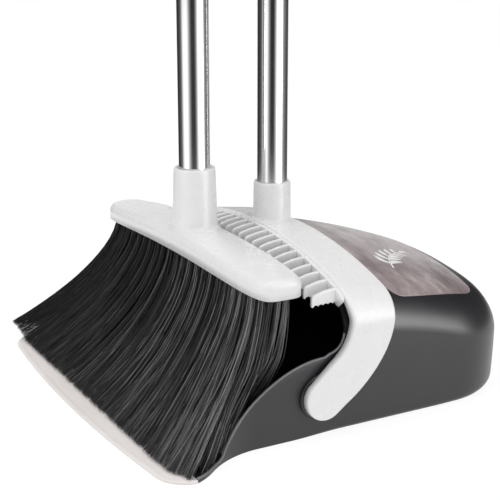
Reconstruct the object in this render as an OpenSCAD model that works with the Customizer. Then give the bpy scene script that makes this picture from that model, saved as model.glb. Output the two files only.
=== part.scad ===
// Long-handled dustpan and broom, stored together: the broom stands in the pan and its
// pole is held by a clip on the pan's pole. Millimetres, +Z up, the pan's mouth faces -Y.

/* [Dustpan] */
// Length of the pan from the lip's front edge to the back wall
pan_len = 300; // [296:1:304]
// Width over the two front corners
mouth_w = 300; // [296:1:304]
// Width over the side walls
body_w = 251; // [250:0.5:252]
// Height of the hood's crown at its front edge
hood_h = 113; // [112.5:0.5:113.5]
// Wall thickness of the moulded pan
wall = 2.4; // [2:0.2:2.8]
// Radius of the rear corners seen from above
rear_corner_r = 55; // [45:1:60]
// Fall of the hood behind its front edge, in degrees
slope_front = 7; // [6:0.5:8]
// Fall of the hood's middle part, in degrees
slope_mid = 15; // [14:0.5:16]
// Fall of the hood's rear part, in degrees
slope_rear = 20; // [18:0.5:22]

/* [Yoke] */
// Height of the pivot pins above the floor
pivot_z = 27.2; // [26:0.1:29]
// Distance of the pivot pins in front of the pan's middle
pivot_y = -23.5; // [-25:0.5:-22]
// Radius of the pivot pins
pin_r = 5; // [4:0.5:5.5]
// Thickness of the arms
arm_t = 6; // [5:0.5:7]
// Distance between neighbouring comb teeth
comb_pitch = 9.8; // [9.6:0.1:9.9]
// Teeth on each side of the middle tooth
comb_half = 12; // [8:1:12]
// How far the comb teeth stand forward of the yoke
tooth_len = 20; // [16:1:20]

/* [Poles] */
// Outside diameter of the steel tubes
tube_d = 22; // [22:1:22]
// Wall thickness of the steel tubes
tube_wall = 0.5; // [0.4:0.1:0.8]
// Visible length of one tube section
section_len = 275; // [260:5:290]
// Place of the pan's pole along Y
pan_pole_y = 12; // [12:1:13]
// Place of the broom's pole along Y
broom_pole_y = -50.5; // [-52:0.5:-50]

/* [Broom] */
// Length of the broom head
head_len = 254; // [244:1:256]
// Depth of the broom head
head_w = 40; // [36:1:40]
// Height of the head's lower edge above the floor, in the middle
head_z = 102.5; // [101:0.5:104]
// How much lower the head's two ends are
head_droop = 5; // [0:0.5:6]
// Number of tuft rows
bristle_rows = 5; // [3:1:5]
// Tufts in a row
tufts = 21; // [15:1:23]

/* [Hidden] */
$fn = 64;
eps = 0.01;

body_x = body_w / 2;
mouth_x = mouth_w / 2;
front_y = -pan_len / 2;
rear_y = pan_len / 2;
run_gap = 0.05;             // radial clearance of a running fit

// Hood: a wide crown arc that turns into upright sides through shoulder arcs
crown_r = 355;
shoulder_r = 22;
hood_front_y = -5;          // where the crown has its full height
bend_1_y = 40;              // where the hood's fall gets steeper
bend_2_y = 90;              // and where it gets steeper again
base_round = 3.6;           // rounding of the body's lower edges
hood_top_y = 4;             // front edge of the hood over the crown
rear_top_r = 30;            // rounding of the top rear edge
rear_foot_r = 8;            // rounding of the bottom rear edge
floor_t = 3;                // thickness of the pan's floor
rim_low = 3.2;              // height of the rim where the side walls end
rim_high = 52.8;            // height of the side walls in front of the hood
rim_start_y = -100.5;       // where the side walls rise from the floor
rim_end_y = -18.5;          // where they meet the hood's front edge

// Front outline of the pan seen from above
front_bow = 0.0004;         // curvature of the lip's front edge
corner_r = 22;              // radius of the front corners
flare_start_y = -72;        // where the side walls begin to flare outwards
flare_turn = 60;            // how far the front corner's arc runs backwards, in degrees
lip_back_y = -124;          // joint between the lip and the pan
lip_half = 147;             // half the lip's width

// Yoke: a bail that follows the hood, with two arms down to the pivots
yoke_gap = 0.7;             // air between the hood and the yoke
side_gap = 2.6;             // air between the side walls and the arms
band_t = 3.8;               // thickness of the band over the hood
band_front_y = pan_pole_y - 18;
band_rear_y = pan_pole_y + 18;
arm_in_x = body_x + side_gap;
arm_out_x = arm_in_x + arm_t;
arm_bend_y = pivot_y - 12.5; // centre of the bend in the arms
arm_bend_z = pivot_z + 50.8;
arm_bend_in = 32.5;         // inner and outer radius of that bend
arm_bend_out = 65;
arm_end_r = 14;

pan_socket_z = 146;         // top of the socket on the yoke
pan_socket_r = 13.6;
pan_tube_z = 120;           // bottom end of the pan's lowest tube
broom_socket_z = 158;       // top of the socket on the broom head
broom_socket_r = 15.3;
broom_tube_z = 121;         // bottom end of the broom's lowest tube
tube_r = tube_d / 2;
tube_in_r = tube_r - tube_wall;
pan_top_z = pan_socket_z + 3 * section_len;
broom_top_z = broom_socket_z + 4 * section_len;
ring_h = 3;                 // visible collar between two tube sections
grip_len = 115;
grip_r = 14;
cap_h = 34;
hang_r = 4.5;

// Broom head
head_mid_y = broom_pole_y - 0.5;
head_front_y = head_mid_y - head_w / 2;
head_rear_y = head_mid_y + head_w / 2;
head_wall = 2.5;
head_edge_h = 12.5;         // height of the head over its lower edge
block_t = 8;

clip_z = 790;               // middle of the clip on the pan's pole
clip_h = 26;
clip_wall = 3;

// ---------- helpers ----------

function mix(a, b, t) = a + (b - a) * t;
function ease(t) = let(u = min(1, max(0, t))) u * u * (3 - 2 * u);
function arc(c, r, a0, a1, n) = [for (i = [0:n]) let(a = mix(a0, a1, i / n)) c + r * [cos(a), sin(a)]];
function mirrored(pts) = [for (i = [len(pts) - 1:-1:0]) [-pts[i].x, pts[i].y]];

// Height of an arch's shoulder centre under its crown
function shoulder_drop(hw, rt, rs) = rt - sqrt(pow(rt - rs, 2) - pow(hw - rs, 2));

// Height of the arch under its crown at distance x from the middle
function arch_drop(x, hw, rt, rs) =
    let(zc = shoulder_drop(hw, rt, rs), turn = asin((hw - rs) / (rt - rs)), edge = rt * sin(turn))
    abs(x) <= edge ? rt - sqrt(rt * rt - x * x) : zc - sqrt(max(0, rs * rs - pow(abs(x) - hw + rs, 2)));

// Right half of an arch, from the crown down to depth, with its crown at the origin
function half_arch(hw, rt, rs, depth) =
    let(turn = asin((hw - rs) / (rt - rs)), zc = -shoulder_drop(hw, rt, rs))
    concat(arc([0, -rt], rt, 90, 90 - turn, 20), arc([hw - rs, zc], rs, 90 - turn, 0, 10),
           [[hw, -depth]]);

module arch_2d(hw, rt, rs, depth) {
    right = half_arch(hw, rt, rs, depth);
    polygon(concat(mirrored(right), [for (i = [1:len(right) - 1]) right[i]]));
}

// Lays a drawing of (y, z) across the full width
module across(width) {
    translate([-width / 2, 0, 0]) rotate([90, 0, 90]) linear_extrude(width) children();
}

// Arched prism that runs backwards and falls by slope; its crown passes through (y, z)
module roof(hw, rt, rs, y, z, slope, depth = 160) {
    translate([0, y, z]) rotate([-slope, 0, 0]) translate([0, 240, 0])
        rotate([90, 0, 0]) linear_extrude(380) arch_2d(hw, rt, rs, depth);
}

// Height of the hood's crown where its fall changes
bend_1_z = hood_h - (bend_1_y - hood_front_y) * tan(slope_front);
bend_2_z = bend_1_z - (bend_2_y - bend_1_y) * tan(slope_mid);

// The hood's outer skin as a solid; grow moves it outwards
module hood_solid(grow) {
    intersection() {
        roof(body_x + grow, crown_r + grow, shoulder_r + grow, hood_front_y, hood_h + grow, slope_front);
        roof(body_x + grow, crown_r + grow, shoulder_r + grow, bend_1_y, bend_1_z + grow, slope_mid);
        roof(body_x + grow, crown_r + grow, shoulder_r + grow, bend_2_y, bend_2_z + grow, slope_rear);
    }
}

// ---------- dustpan ----------

// Point of a curve that starts at a, aims at b and ends at c
function curve(a, b, c, t) = (1 - t) * (1 - t) * a + 2 * t * (1 - t) * b + t * t * c;

// Right half of the pan's outline seen from above, rear to front; inset moves it inwards
function outline_half(inset) =
    let(side = body_x - inset, back = rear_y - inset, corner = rear_corner_r - inset,
        edge = mouth_x - corner_r, corner_y = front_y + front_bow * edge * edge + corner_r,
        r = corner_r - inset, join = [edge, corner_y] + r * [cos(flare_turn), sin(flare_turn)],
        aim = [side, join.y + (join.x - side) / tan(flare_turn)])
    concat([[0, back]],
           arc([side - corner, back - corner], corner, 90, 0, 14),
           [for (i = [0:7]) curve([side, flare_start_y], aim, join, i / 8)],
           arc([edge, corner_y], r, flare_turn, -90, 16),
           [for (i = [11:-1:0]) let(x = edge * i / 12) [x, front_y + inset + front_bow * x * x]]);

module outline_2d(inset) {
    right = outline_half(inset);
    left = mirrored(right);
    polygon(concat(right, [for (i = [1:len(left) - 2]) left[i]]));
}

// Centre of the rounding between the hood and the back wall
rear_top_c = [rear_y - rear_top_r,
              bend_2_z - (rear_y - rear_top_r - bend_2_y) * tan(slope_rear) - rear_top_r / cos(slope_rear)];

// Height of the side walls' swept rim at y
function rim_z(y) =
    rim_high * sin(90 * pow((y - rim_start_y) / (rim_end_y - rim_start_y), 0.85));

// Side view of the pan: floor, back wall and the swept rim of the side walls
module side_view_2d() {
    polygon(concat(
        [[front_y - 5, 0]],
        arc([rear_y - rear_foot_r - 2, rear_foot_r], rear_foot_r, -90, -10, 6),
        arc(rear_top_c, rear_top_r, 0, 90 - slope_rear, 10),
        [[bend_2_y, hood_h + 30], [hood_top_y, hood_h + 30], [hood_top_y, 104], [-5, 88], [-5.2, 75]],
        arc([-17.6, 67.2], 12.6, 0, -82, 8),
        [for (i = [0:14]) let(y = mix(rim_end_y, rim_start_y + 2.5, i / 14)) [y, max(rim_low, rim_z(y))]],
        [[front_y + 30, rim_low - 0.6], [front_y - 5, 2.6]]));
}

// Side view of the space inside the pan, open at the front
module inside_view_2d() {
    polygon(concat(
        [[front_y - 10, 2.2], [lip_back_y, 2.4], [-112, 3.6], [-98, 4.4], [-84, 4.2], [-62, floor_t]],
        arc([rear_y - rear_foot_r - 2, floor_t + 6], rear_foot_r - wall, -90, -10, 6),
        arc(rear_top_c, rear_top_r - wall, 0, 90 - slope_rear, 10),
        [[bend_2_y, hood_h + 40], [front_y - 10, hood_h + 40]]));
}

// Front view of the body with its rounded lower edges
module base_round_2d(grow) {
    c = body_x + grow - base_round;
    polygon(concat(arc([c, base_round], base_round, 0, -90, 6), arc([-c, base_round], base_round, -90, -180, 6),
                   [[-body_x - grow, 140], [body_x + grow, 140]]));
}

// The body's outer form, before the hollow is taken out; the flared front keeps sharp edges
module body_form(grow) {
    box_y = front_y - 8;
    union() {
        intersection() {
            hood_solid(grow);
            translate([0, rear_y + 10, 0]) rotate([90, 0, 0]) linear_extrude(rear_y + 22) base_round_2d(grow);
        }
        translate([-mouth_x - 5, box_y, -2]) cube([mouth_w + 10, -10 - box_y, 62]);
        intersection() {
            hood_solid(grow);
            translate([-mouth_x, box_y, 50]) cube([mouth_w, -box_y, 80]);
        }
    }
}

module pivot_axis(x, length, r) {
    translate([x, pivot_y, pivot_z]) rotate([0, 90, 0]) cylinder(h = length, r = r);
}

module both_sides() {
    children();
    mirror([1, 0, 0]) children();
}

boss_in_x = body_x - wall - 5;      // inner end of the pivot boss
boss_out_x = body_x + side_gap - 0.5;

module pan_shell() {
    difference() {
        intersection() {
            linear_extrude(hood_h + 10) outline_2d(0);
            across(mouth_w + 10) side_view_2d();
            body_form(0);
        }
        intersection() {
            translate([0, 0, -1]) linear_extrude(hood_h + 10) outline_2d(wall);
            across(mouth_w + 10) inside_view_2d();
            body_form(-wall);
        }
        // seat of the flexible lip
        translate([-lip_half, front_y - 5, -1]) cube([2 * lip_half, lip_back_y - front_y + 5, 20]);
        // hollow under the ramp
        across(2 * (body_x - 8))
            polygon([[-120, -1], [-120, 0.4], [-100, 2.6], [-84, 2.2], [-66, 0.4], [-66, -1]]);
    }
}

module pan_body() {
    color("dimgray") difference() {
        union() {
            pan_shell();
            both_sides() pivot_axis(boss_in_x, boss_out_x - boss_in_x, 10);
        }
        both_sides() pivot_axis(boss_in_x - 5, 20, pin_r + run_gap);
    }
}

module front_lip() {
    color("gainsboro") intersection() {
        linear_extrude(20) outline_2d(0);
        translate([-lip_half, front_y - 5, 0]) cube([2 * lip_half, 60, 20]);
        across(mouth_w) polygon([[front_y - 5, 0], [lip_back_y, 0], [lip_back_y, 2.4],
                                 [lip_back_y - 12, 2.2], [front_y + 6, 1.8], [front_y - 5, 1.2]]);
    }
}

module hood_label() {
    label_front = 34;
    label_rear = 108;
    label_half = 101;
    r = 9;
    color("rosybrown") intersection() {
        difference() {
            hood_solid(0.4);
            hood_solid(0.05);
        }
        translate([0, 0, 40]) linear_extrude(100) union() {
            translate([-label_half, label_front + r]) square([2 * label_half, label_rear - label_front - 2 * r]);
            translate([-label_half + r, label_front]) square([2 * label_half - 2 * r, label_rear - label_front]);
            for (x = [-1, 1], y = [label_front + r, label_rear - r]) translate([x * (label_half - r), y]) circle(r);
        }
    }
}

// ---------- yoke and comb ----------

yoke_top_z = hood_h + yoke_gap + band_t;

// Points along the arms' two edges; turn 0 points backwards, 90 down
function arm_back(turn) = [arm_bend_y, arm_bend_z] + (arm_bend_out - 3 * pow(sin(2 * turn), 2)) * [cos(turn), -sin(turn)];
function arm_front(turn) = [arm_bend_y, arm_bend_z] + arm_bend_in * [cos(turn), -sin(turn)];

module yoke_side_2d() {
    polygon(concat(
        [[band_front_y, arm_bend_z + 60], [band_front_y, arm_bend_z + 18]],
        [for (i = [0:9]) arm_front(i * 6)],
        [[pivot_y - arm_end_r * cos(50), pivot_z + arm_end_r * sin(50)]],
        arc([pivot_y, pivot_z], arm_end_r, 140, 310, 16),
        [for (i = [10:-1:0]) arm_back(i * 6.4)],
        [[band_rear_y, arm_bend_z + 30], [band_rear_y, arm_bend_z + 60]]));
}

module yoke() {
    color("whitesmoke") difference() {
        union() {
            intersection() {
                across(2 * arm_out_x + 2) yoke_side_2d();
                difference() {
                    roof(arm_out_x, crown_r + 5, shoulder_r + 4, band_front_y, yoke_top_z, slope_front);
                    roof(arm_in_x, crown_r + 1, shoulder_r + 1, band_front_y, hood_h + yoke_gap, slope_front);
                }
            }
            // socket for the pole
            translate([0, pan_pole_y, yoke_top_z - 8])
                cylinder(h = pan_socket_z - yoke_top_z + 8, r1 = pan_socket_r + 0.4, r2 = pan_socket_r - 0.2);
            both_sides() pivot_axis(boss_in_x - 0.5, arm_in_x - boss_in_x + 1.5, pin_r);
        }
        translate([0, pan_pole_y, pan_tube_z]) cylinder(h = 60, r = tube_r + 0.02);
        translate([0, pan_pole_y, pan_tube_z - 4]) cylinder(h = 10, r = 8.02);
        // nothing of the socket hangs under the band
        roof(arm_in_x - 2, crown_r + 1, shoulder_r + 1, band_front_y, hood_h + yoke_gap, slope_front);
        // screw holes in the pins
        both_sides() pivot_axis(boss_in_x - 2, 11, 1.6);
    }
}

// One comb tooth seen from the side, its root's top at the origin: a blade with a scalloped lower edge
tooth_h = 10.5;
module tooth_2d() {
    scallops = 5;
    step = (tooth_len - 2) / scallops;
    difference() {
        polygon(concat([[0, -tooth_h], [0, 0]],
                       [for (i = [0:6]) let(t = i / 6) [-mix(4, tooth_len, t), -1.6 * t * t]],
                       [[-tooth_len - 0.6, -4], [-tooth_len, -tooth_h]]));
        for (i = [0:scallops - 1])
            translate([-(i + 0.6) * step, -tooth_h - 0.7]) circle(r = 1.7, $fn = 20);
    }
}

function comb_z(x) = yoke_top_z - 1.6 - arch_drop(x, arm_out_x, crown_r + 5, shoulder_r + 4);

module comb() {
    rail_t = 3;
    color("white") union() {
        // rail under the front edge of the band
        intersection() {
            translate([0, band_front_y, 0]) rotate([90, 0, 0]) linear_extrude(rail_t) translate([0, hood_h + yoke_gap + 1])
                difference() {
                    arch_2d(arm_in_x - 0.5, crown_r + 1, shoulder_r + 1, 40);
                    translate([0, -9]) arch_2d(arm_in_x - 3, crown_r - 3, shoulder_r - 1, 60);
                }
            translate([-arm_in_x, band_front_y - 10, 88]) cube([2 * arm_in_x, 20, 60]);
        }
        for (i = [-comb_half:comb_half])
            translate([i * comb_pitch - 1.1, band_front_y - rail_t + 0.5, comb_z(i * comb_pitch) + 0.6])
                rotate([90, 0, 90]) linear_extrude(2.2) tooth_2d();
    }
}

washer_t = 1.6;
module pivot_washers() {
    color("silver") both_sides() difference() {
        pivot_axis(boss_in_x - 0.6 - washer_t, washer_t, 8.5);
        pivot_axis(boss_in_x - 10, 20, 1.9);
    }
}

module pivot_screws() {
    head_x = boss_in_x - 0.6 - washer_t;
    color("gray") both_sides() difference() {
        union() {
            pivot_axis(head_x - 2.4, 2.4, 3.6);
            pivot_axis(head_x - eps, 10, 1.55);
        }
        // cross recess
        for (a = [0, 90]) translate([head_x - 2.5, pivot_y, pivot_z]) rotate([a, 0, 0])
            translate([0, -0.5, -2]) cube([1.4, 1, 4]);
    }
}

// ---------- poles ----------

// A steel tube with its axis at y
module tube(y, z, length) {
    color("silver") translate([0, y, z]) difference() {
        cylinder(h = length, r = tube_r);
        translate([0, 0, -1]) cylinder(h = length + 2, r = tube_in_r);
    }
}

// Ribbed stub that stands for a screw thread
module thread(r, h) {
    pitch = 2.5;
    rotate_extrude() polygon(concat([[0, 0]],
        [for (i = [0:2 * floor(h / pitch)]) [r - (i % 2 == 0 ? 0.9 : 0), i * pitch / 2]], [[0, pitch * floor(h / pitch)]]));
}

// Plug pressed into the foot of a pole, with a thread that screws into the socket
module foot_plug(y, z) {
    color("darkgray") translate([0, y, z]) union() {
        cylinder(h = 24, r = tube_in_r - 0.02);
        translate([0, 0, -3.6]) cylinder(h = 4, r = 7.9);
    }
}

// Threaded plug in the top end of a lower section, with the collar that shows between sections
module joint_plug(y, z) {
    translate([0, y, z]) difference() {
        union() {
            translate([0, 0, -22]) cylinder(h = 22, r = tube_in_r - 0.02);
            cylinder(h = ring_h, r = tube_r - 0.1);
        }
        translate([0, 0, -23]) cylinder(h = 24 + ring_h, r = 7);
    }
}

// Screwed stud in the foot of an upper section
module joint_stud(y, z) {
    translate([0, y, z + ring_h]) union() {
        translate([0, 0, 0.05]) cylinder(h = 20, r = tube_in_r - 0.02);
        translate([0, 0, -17.5]) thread(6.9, 17.5);
        translate([0, 0, -0.5]) cylinder(h = 1, r = 6);
    }
}

module grip(y, top) {
    ribs = 9;
    color("lightgray") translate([0, y, top - grip_len]) difference() {
        rotate_extrude() polygon(concat(
            [[tube_r + 0.02, 0], [grip_r - 1, 0], [grip_r, 1.5]],
            [for (i = [0:2 * ribs]) [grip_r - (i % 2 == 0 ? 0 : 0.9), 12 + i * (grip_len - 24) / (2 * ribs)]],
            [[grip_r, grip_len - 1.5], [grip_r - 1, grip_len], [tube_r + 0.02, grip_len]]));
    }
}

// Cap in the pole's top end with a hole to hang it on a hook
module hang_cap(y, top) {
    color("gainsboro") translate([0, y, top]) difference() {
        union() {
            translate([0, 0, -20]) cylinder(h = 20, r = tube_in_r - 0.02);
            intersection() {
                rotate_extrude() polygon(concat([[0, 0], [grip_r - 0.5, 0]],
                    arc([0, cap_h - 18], 13.5, 0, 90, 12)));
                translate([-20, -6, -1]) cube([40, 12, cap_h + 10]);
            }
            cylinder(h = 5, r = grip_r - 0.2);
        }
        translate([0, -20, 16]) rotate([-90, 0, 0]) cylinder(h = 40, r = hang_r);
    }
}

module pan_foot_plug() { foot_plug(pan_pole_y, pan_tube_z); }
module pan_tube_lower() { tube(pan_pole_y, pan_tube_z, pan_socket_z + section_len - pan_tube_z); }
module pan_tube_middle() { tube(pan_pole_y, pan_socket_z + section_len + ring_h, section_len - ring_h); }
module pan_tube_upper() { tube(pan_pole_y, pan_socket_z + 2 * section_len + ring_h, section_len - ring_h); }
module pan_joint_plugs() {
    color("darkgray") for (i = [1:2]) joint_plug(pan_pole_y, pan_socket_z + i * section_len);
}
module pan_joint_studs() {
    color("gray") for (i = [1:2]) joint_stud(pan_pole_y, pan_socket_z + i * section_len);
}
module pan_grip() { grip(pan_pole_y, pan_top_z); }
module pan_hang_cap() { hang_cap(pan_pole_y, pan_top_z); }

module broom_foot_plug() { foot_plug(broom_pole_y, broom_tube_z); }
module broom_tube(i) {
    start = i == 0 ? broom_tube_z : broom_socket_z + i * section_len + ring_h;
    tube(broom_pole_y, start, broom_socket_z + (i + 1) * section_len - start);
}
module broom_tube_lower() { broom_tube(0); }
module broom_tube_second() { broom_tube(1); }
module broom_tube_third() { broom_tube(2); }
module broom_tube_upper() { broom_tube(3); }
module broom_joint_plugs() {
    color("darkgray") for (i = [1:3]) joint_plug(broom_pole_y, broom_socket_z + i * section_len);
}
module broom_joint_studs() {
    color("gray") for (i = [1:3]) joint_stud(broom_pole_y, broom_socket_z + i * section_len);
}
module broom_grip() { grip(broom_pole_y, broom_top_z); }
module broom_hang_cap() { hang_cap(broom_pole_y, broom_top_z); }

// Clip: a closed collar on the pan's pole and an open one that the broom's pole snaps into
module pole_clip() {
    collar_r = tube_r + clip_wall;
    mouth = 17;
    color("whitesmoke") translate([0, 0, clip_z - clip_h / 2]) linear_extrude(clip_h) difference() {
        union() {
            translate([0, pan_pole_y]) circle(collar_r);
            translate([0, broom_pole_y]) circle(collar_r);
            translate([-4, broom_pole_y + tube_r + 1]) square([8, pan_pole_y - broom_pole_y - 2 * tube_r - 2]);
        }
        translate([0, pan_pole_y]) circle(tube_r + run_gap);
        translate([0, broom_pole_y]) circle(tube_r + 2 * run_gap);
        translate([-mouth / 2, broom_pole_y - 40]) square([mouth, 40]);
    }
}

// ---------- broom ----------

module head_plan_2d(inset) {
    half = head_len / 2 - inset;
    depth = head_w / 2 - inset;
    n = 40;
    polygon([for (i = [0:2 * n - 1]) let(a = 180 * i / n, c = cos(a), s = sin(a))
        [half * sign(c) * pow(abs(c), 0.36), head_mid_y + depth * sign(s) * pow(abs(s), 0.42)]]);
}

// Lays a drawing of (x, z) along the head's depth
module along_head() {
    translate([0, head_mid_y + 40, 0]) rotate([90, 0, 0]) linear_extrude(80) children();
}

// Front view of a bar that droops towards its ends, from low to high over the head's lower edge
module droop_2d(low, high, crown) {
    n = 24;
    edge = head_len / 2 + 2;
    function droop(x) = head_z - head_droop * pow(2 * x / head_len, 2);
    polygon(concat(
        [for (i = [0:n]) let(x = mix(-edge, edge, i / n)) [x, droop(x) + low]],
        [for (i = [0:n]) let(x = mix(edge, -edge, i / n)) [x, droop(x) + high + crown * (1 - pow(x / edge, 2))]]));
}

module broom_head() {
    color("whitesmoke") difference() {
        union() {
            intersection() {
                translate([0, 0, head_z - 10]) linear_extrude(40) head_plan_2d(0);
                along_head() droop_2d(0, head_edge_h, 2.5);
                // upright skirt, then a crowned top
                across(head_len + 10) polygon(concat(
                    [[head_front_y - 1, head_z - 12], [head_rear_y + 1, head_z - 12]],
                    [for (i = [0:12]) let(t = 1 - 2 * i / 12)
                        [head_mid_y + t * (head_w + 2) / 2, head_z + 9.5 + 5 * (1 - t * t)]]));
            }
            translate([0, broom_pole_y, head_z + head_edge_h - 1])
                cylinder(h = broom_socket_z - head_z - head_edge_h + 1, r1 = broom_socket_r + 0.9, r2 = broom_socket_r);
        }
        // pocket for the bristle block
        intersection() {
            translate([0, 0, head_z - 12]) linear_extrude(30) head_plan_2d(head_wall);
            along_head() droop_2d(-3, block_t + 0.3, 0);
        }
        translate([0, broom_pole_y, broom_tube_z]) cylinder(h = 60, r = tube_r + 0.02);
        translate([0, broom_pole_y, broom_tube_z - 4]) cylinder(h = 10, r = 8.02);
        for (x = [-1, 1]) translate([x * block_screw_x, head_mid_y, head_z + 2]) cylinder(h = 9, r = 1.6);
    }
}

block_screw_x = 30;
module bristle_block() {
    color("black") difference() {
        intersection() {
            translate([0, 0, head_z - 12]) linear_extrude(30) head_plan_2d(head_wall + 0.1);
            along_head() droop_2d(1, block_t, 0);
        }
        for (x = [-1, 1]) translate([x * block_screw_x, head_mid_y, head_z - 2]) {
            cylinder(h = 20, r = 1.9);
            cylinder(h = 5.2, r = 3.8);
        }
    }
}

module block_screws() {
    color("gray") for (x = [-1, 1]) translate([x * block_screw_x, head_mid_y, head_z]) difference() {
        union() {
            translate([0, 0, 0.9]) cylinder(h = 2.2, r = 3.5);
            translate([0, 0, 3]) cylinder(h = 7.6, r = 1.55);
        }
        for (a = [0, 90]) rotate([0, 0, a]) translate([-2, -0.5, 0.6]) cube([4, 1, 1.4]);
    }
}

// Side view of one tuft row: upright at the head, then bending forward onto the lip
row_t = 4.6;
row_pitch = 6.3;
function row_top_y(r) = head_mid_y + (r - (bristle_rows - 1) / 2) * row_pitch;
// tips of the front row, and how far each row behind it ends further back and higher
front_tip_y = -134;
front_tip_z = 3.4;
tip_back = 16;
tip_up = 2.2;
function row_tip_y(r) = front_tip_y + tip_back * r;
function row_y(r, s) = mix(row_top_y(r), row_tip_y(r), pow(s, 1.7));
function row_z(r, s) = mix(head_z + 0.4, front_tip_z + tip_up * r, s);

module row_side_2d(r) {
    n = 12;
    polygon(concat(
        [for (i = [0:n]) let(s = i / n) [row_y(r, s) - row_t / 2, row_z(r, s)]],
        [for (i = [n:-1:0]) let(s = i / n) [row_y(r, s) + row_t / 2, row_z(r, s) + s * 0.6]]));
}

// Front view of a row: narrow at the head, spread at the tips, parted into tufts near the head.
// The rear rows end between the side walls, so they spread less.
tip_half = 147;
rear_tip_half = 118;
root_half = 110;
function spread(r, s) = mix(root_half, r < 3 ? tip_half : rear_tip_half, pow(s, 2.2));
module rows_front_2d(r) {
    n = 12;
    top = head_z + 1;
    low = 2;
    part_z = head_z - 34;
    function edge(i) = let(s = i / n) [spread(r, s), mix(top, low, s)];
    difference() {
        polygon(concat([for (i = [0:n]) edge(i)], [for (i = [n:-1:0]) let(p = edge(i)) [-p.x, p.y]]));
        for (i = [1:tufts - 1]) let(x = root_half * (2 * i / tufts - 1))
            polygon([[x - 1.6, top + 1], [x + 1.6, top + 1], [x * 1.035, part_z]]);
        // the head's droop
        difference() {
            translate([-200, head_z - 12]) square([400, 30]);
            droop_2d(-20, 0.6, 0);
        }
    }
}

module bristle_tufts() {
    color("black") for (r = [0:bristle_rows - 1]) intersection() {
        across(2 * tip_half + 10) row_side_2d(r);
        rotate([90, 0, 0]) linear_extrude(200) rows_front_2d(r);
    }
}

pan_body();
front_lip();
hood_label();
yoke();
comb();
pivot_washers();
pivot_screws();
pan_foot_plug();
pan_tube_lower();
pan_tube_middle();
pan_tube_upper();
pan_joint_plugs();
pan_joint_studs();
pan_grip();
pan_hang_cap();
pole_clip();
broom_head();
bristle_block();
bristle_tufts();
block_screws();
broom_foot_plug();
broom_tube_lower();
broom_tube_second();
broom_tube_third();
broom_tube_upper();
broom_joint_plugs();
broom_joint_studs();
broom_grip();
broom_hang_cap();
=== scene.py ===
"""Looks of the long-handled dustpan and broom set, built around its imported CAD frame."""

import math
import random

import bmesh
import bpy
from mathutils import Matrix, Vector


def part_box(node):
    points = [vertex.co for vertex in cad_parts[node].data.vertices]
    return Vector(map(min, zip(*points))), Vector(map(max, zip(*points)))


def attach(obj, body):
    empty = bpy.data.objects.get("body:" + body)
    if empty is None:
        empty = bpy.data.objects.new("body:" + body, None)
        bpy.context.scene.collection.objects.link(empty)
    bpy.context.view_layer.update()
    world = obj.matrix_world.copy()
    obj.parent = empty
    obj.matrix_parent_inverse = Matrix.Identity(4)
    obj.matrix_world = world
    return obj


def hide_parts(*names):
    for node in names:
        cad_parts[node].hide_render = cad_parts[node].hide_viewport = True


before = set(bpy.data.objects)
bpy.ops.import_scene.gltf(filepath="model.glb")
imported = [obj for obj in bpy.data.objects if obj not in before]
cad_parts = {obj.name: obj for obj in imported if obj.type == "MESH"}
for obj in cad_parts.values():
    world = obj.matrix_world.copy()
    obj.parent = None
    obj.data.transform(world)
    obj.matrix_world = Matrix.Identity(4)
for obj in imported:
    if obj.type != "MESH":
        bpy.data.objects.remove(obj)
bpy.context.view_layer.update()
random.seed(7)

MM = 0.001      # shapes are worked out in millimetres and stored in metres


# ---------- places and sizes read from the frame ----------

def box_mm(node):
    """Lowest and highest corner of a CAD node's box, in millimetres."""
    low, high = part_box(node)
    return low / MM, high / MM


pan_high = box_mm("pan_body")[1]
lip_low, lip_high = box_mm("front_lip")
label_low = box_mm("hood_label")[0]
yoke_high = box_mm("yoke")[1]
head_low, head_high = box_mm("broom_head")
pan_tube_low, pan_tube_high = box_mm("pan_tube_lower")
broom_tube_low, broom_tube_high = box_mm("broom_tube_lower")

pan_pole_y = (pan_tube_low.y + pan_tube_high.y) / 2
broom_pole_y = (broom_tube_low.y + broom_tube_high.y) / 2
tube_r = pan_tube_high.x
tube_wall = 0.5

mouth_x = pan_high.x            # half the width over the front corners
rear_y = pan_high.y
front_y = lip_low.y
hood_h = pan_high.z
arm_out_x = yoke_high.x
body_x = 125.5                  # half the width over the side walls
wall = 2.4
pivot = (-23.5, 27.2)           # the pivot pins' (y, z)


# ---------- small helpers ----------

def mix(a, b, t):
    return a + (b - a) * t


def ease(low, high, value):
    t = min(1.0, max(0.0, (value - low) / (high - low)))
    return t * t * (3 - 2 * t)


def arc(cy, cz, r, start, end, steps):
    """Points of an arc, angles in degrees."""
    turn = [math.radians(mix(start, end, i / steps)) for i in range(steps + 1)]
    return [(cy + r * math.cos(a), cz + r * math.sin(a)) for a in turn]


def curve(a, b, c, steps):
    """Points of a bent line from a towards b and on to c, without a itself."""
    points = []
    for i in range(1, steps + 1):
        t = i / steps
        points.append(tuple((1 - t) ** 2 * p + 2 * t * (1 - t) * q + t * t * r
                            for p, q, r in zip(a, b, c)))
    return points


def between(points, value):
    """Second number at `value` of the first, along points with a rising first number."""
    for (a, p), (b, q) in zip(points, points[1:]):
        if value <= b:
            return mix(p, q, max(0.0, (value - a) / (b - a))) if b > a else q
    return points[-1][1]


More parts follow.
